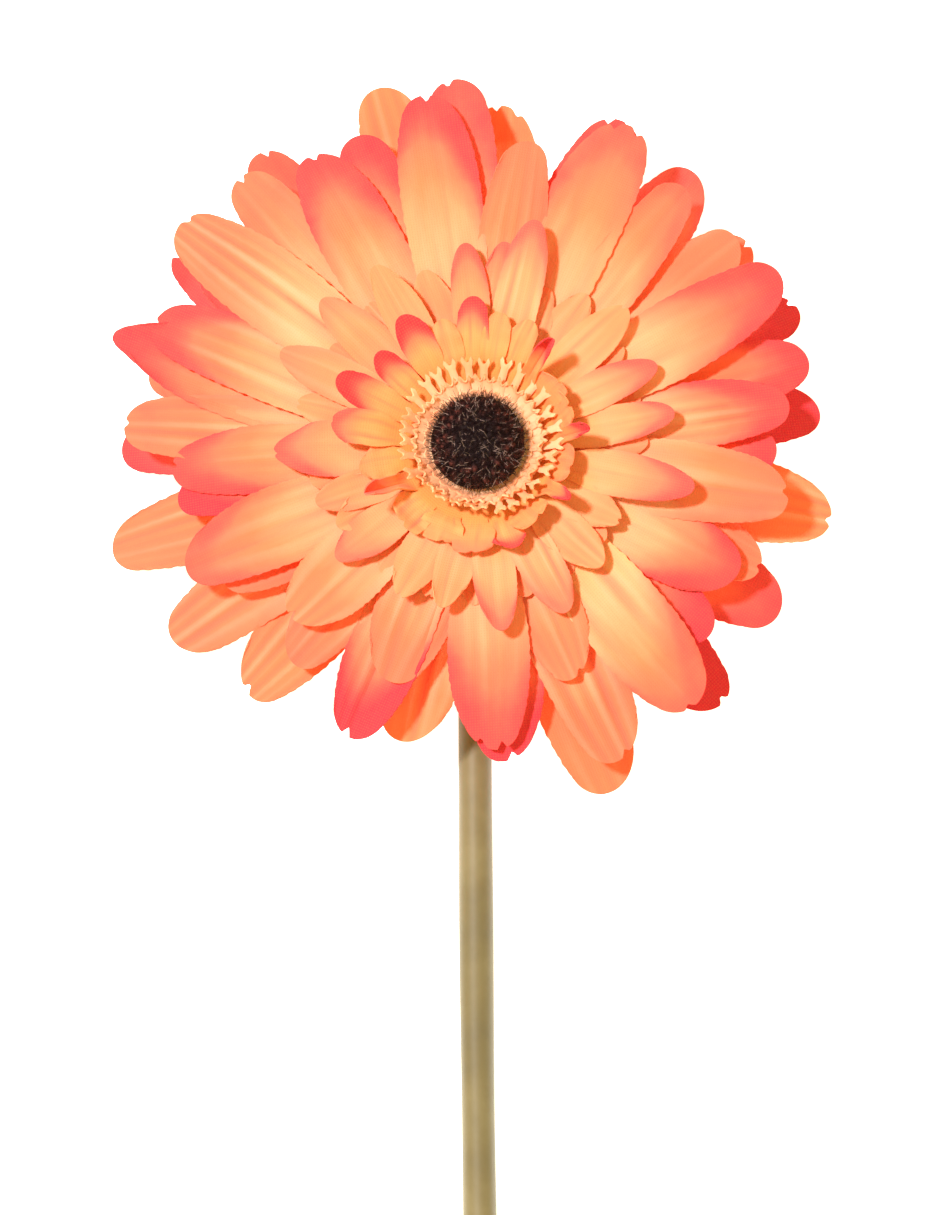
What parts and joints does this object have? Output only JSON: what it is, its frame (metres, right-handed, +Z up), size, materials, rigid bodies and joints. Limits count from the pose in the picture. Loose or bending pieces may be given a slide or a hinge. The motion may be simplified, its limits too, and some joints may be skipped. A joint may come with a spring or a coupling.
{
  "type": "artificial cut gerbera",
  "caption": "Artificial gerbera with layered orange and pink fabric petals, moulded floret rings and a dark flocked centre, on a plastic-covered wire stem that lies flat.",
  "frame": {"origin": "the middle of the flower's outline, seen from above, on the surface that it lies on", "axes": "+Y along the stem towards the flower head, +Z up, away from the surface; the head faces up and leans a little back from the stem"},
  "size_m": [0.1126, 0.4614, 0.033],
  "materials": {
    "stem_wire": "drawn steel wire, visible only at the cut end",
    "stem_plastic": "smooth matt moulded plastic, mottled olive and khaki",
    "calyx_plastic": "matt moulded plastic, olive green",
    "post_plastic": "plain pale moulded plastic",
    "long_petal_fabric": "fine woven fabric with pressed ridges, dyed orange with pink tips",
    "short_petal_fabric": "fine woven fabric, pale orange with pink tips",
    "cup_petal_fabric": "fine woven fabric, yellow-orange with bright pink curled tips",
    "floret_plastic": "soft satin moulded plastic, peach",
    "flock": "short brown-black flock over a bumpy dome, redder at its rim"
  },
  "bodies": {
    "root": {"stem_wire": "stem_wire", "stem_sleeve": "stem_plastic", "calyx_cup": "calyx_plastic", "outer_bracts": "calyx_plastic", "inner_bracts": "calyx_plastic", "centre_post": "post_plastic", "back_whorl": "long_petal_fabric", "middle_whorl": "long_petal_fabric", "front_whorl": "long_petal_fabric", "lower_short_whorl": "short_petal_fabric", "upper_short_whorl": "short_petal_fabric", "cup_whorl": "cup_petal_fabric", "outer_floret_ring": "floret_plastic", "inner_floret_ring": "floret_plastic", "flocked_button": "flock"}
  },
  "joints": []
}
